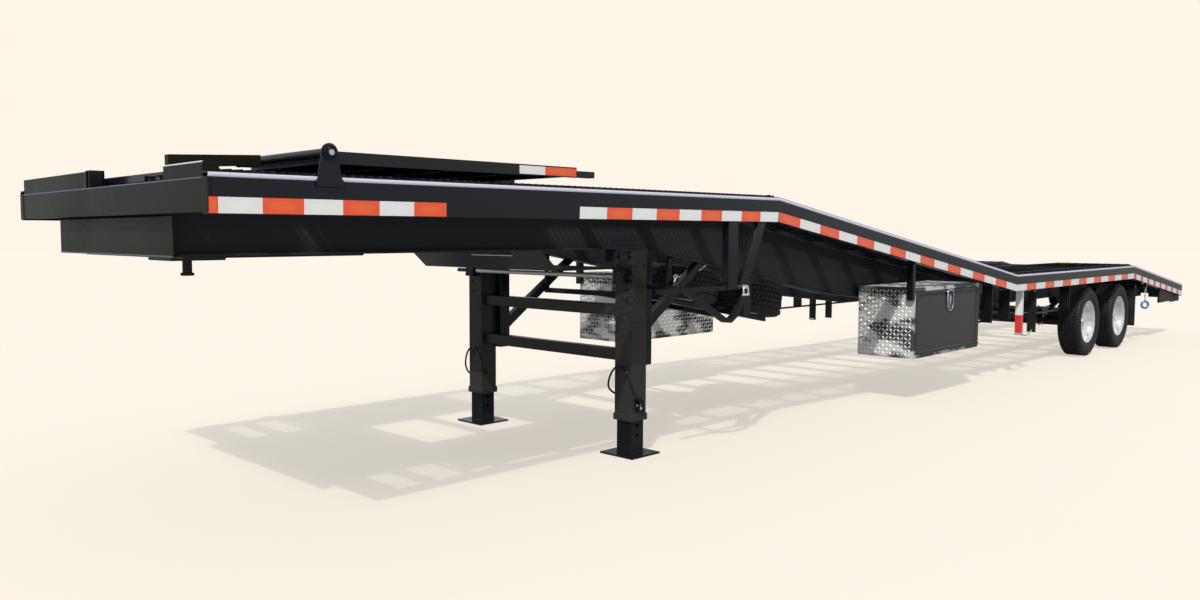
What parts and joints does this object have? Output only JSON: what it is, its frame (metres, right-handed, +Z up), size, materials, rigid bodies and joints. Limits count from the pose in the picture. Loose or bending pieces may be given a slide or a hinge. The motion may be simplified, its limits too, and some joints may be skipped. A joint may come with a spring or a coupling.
{
  "type": "car hauler semi-trailer",
  "caption": "Wedge-deck car hauler semi-trailer with mesh runways, kingpin, landing legs, spare wheels, side toolboxes, folding nose ramps and tandem axles.",
  "frame": {"origin": "on the ground below the middle of the overall box", "axes": "+Z up, the trailer's front faces -Y, its left side faces +X, +Y along its length to the rear"},
  "size_m": [2.638, 15.24, 1.9029],
  "materials": {
    "black_paint": "gloss black paint",
    "deck_mesh": "black painted expanded metal",
    "rod_steel": "black rod",
    "tread_plate": "bright tread plate",
    "latch_chrome": "polished",
    "tyre_rubber": "ribbed black rubber",
    "wheel_aluminium": "polished",
    "flap_rubber": "plain black",
    "lamp_red": "red lens"
  },
  "bodies": {
    "frame": {"side_rail_left": "black_paint", "side_rail_right": "black_paint", "main_beam_left": "black_paint", "main_beam_right": "black_paint", "crossmembers": "black_paint", "runway_curbs": "black_paint", "front_cross_beam": "black_paint", "front_lower_panel": "black_paint", "front_rests": "black_paint", "coupler": "black_paint", "leg_outer_tubes": "black_paint", "leg_cross_tubes": "black_paint", "leg_braces": "black_paint", "leg_bolster": "black_paint", "crank_shaft": "black_paint", "spare_cradle": "black_paint", "spare_hangers": "black_paint", "side_rack": "black_paint", "toolbox_posts": "black_paint", "axles": "black_paint", "springs": "black_paint", "spring_hangers": "black_paint", "tail_beam": "black_paint", "flap_bars": "black_paint", "tail_boxes": "black_paint", "under_rail_rods": "black_paint", "brake_chambers": "black_paint", "ramp_brackets": "black_paint", "spare_rims": "black_paint", "marker_posts": "black_paint", "runway_left": "deck_mesh", "runway_right": "deck_mesh", "leg_pull_rods": "rod_steel", "toolbox_left": "tread_plate", "toolbox_right": "tread_plate", "spare_tyres": "tyre_rubber", "mud_flaps": "flap_rubber", "tail_lamps": "lamp_red"},
    "leg_left": {"leg_inner_left": "black_paint"},
    "leg_right": {"leg_inner_right": "black_paint"},
    "wheel_left_front": {"tyre_left_front": "tyre_rubber", "rim_left_front": "wheel_aluminium"},
    "wheel_left_rear": {"tyre_left_rear": "tyre_rubber", "rim_left_rear": "wheel_aluminium"},
    "wheel_right_front": {"tyre_right_front": "tyre_rubber", "rim_right_front": "wheel_aluminium"},
    "wheel_right_rear": {"tyre_right_rear": "tyre_rubber", "rim_right_rear": "wheel_aluminium"},
    "ramp_left": {"flip_ramp_left": "black_paint"},
    "ramp_right": {"flip_ramp_right": "black_paint"},
    "door_left": {"toolbox_left_door": "black_paint", "toolbox_left_latch": "latch_chrome"},
    "door_right": {"toolbox_right_door": "black_paint", "toolbox_right_latch": "latch_chrome"}
  },
  "joints": [
    {"name": "left_leg_slide", "type": "slide", "parent": "frame", "child": "leg_left", "axis": [0, 0, 1], "range_m": [-0.25, 0.19]},
    {"name": "right_leg_slide", "type": "slide", "parent": "frame", "child": "leg_right", "axis": [0, 0, 1], "range_m": [-0.25, 0.19]},
    {"name": "left_front_wheel_spin", "type": "hinge", "parent": "frame", "child": "wheel_left_front", "pos_m": [1.1, 3.65, 0.419], "axis": [1, 0, 0], "continuous": true},
    {"name": "left_rear_wheel_spin", "type": "hinge", "parent": "frame", "child": "wheel_left_rear", "pos_m": [1.1, 4.87, 0.419], "axis": [1, 0, 0], "continuous": true},
    {"name": "right_front_wheel_spin", "type": "hinge", "parent": "frame", "child": "wheel_right_front", "pos_m": [-1.1, 3.65, 0.419], "axis": [1, 0, 0], "continuous": true},
    {"name": "right_rear_wheel_spin", "type": "hinge", "parent": "frame", "child": "wheel_right_rear", "pos_m": [-1.1, 4.87, 0.419], "axis": [1, 0, 0], "continuous": true},
    {"name": "left_ramp_flip", "type": "hinge", "parent": "frame", "child": "ramp_left", "pos_m": [1, -7.06, 1.861], "axis": [1, 0, 0], "range_deg": [0, 160]},
    {"name": "right_ramp_flip", "type": "hinge", "parent": "frame", "child": "ramp_right", "pos_m": [-1, -7.06, 1.806], "axis": [1, 0, 0], "range_deg": [0, 172]},
    {"name": "left_door_hinge", "type": "hinge", "parent": "frame", "child": "door_left", "pos_m": [1.265, -0.47, 0.439], "axis": [0, 1, 0], "range_deg": [0, 95]},
    {"name": "right_door_hinge", "type": "hinge", "parent": "frame", "child": "door_right", "pos_m": [-1.265, -2.12, 0.554], "axis": [0, -1, 0], "range_deg": [0, 95]}
  ]
}
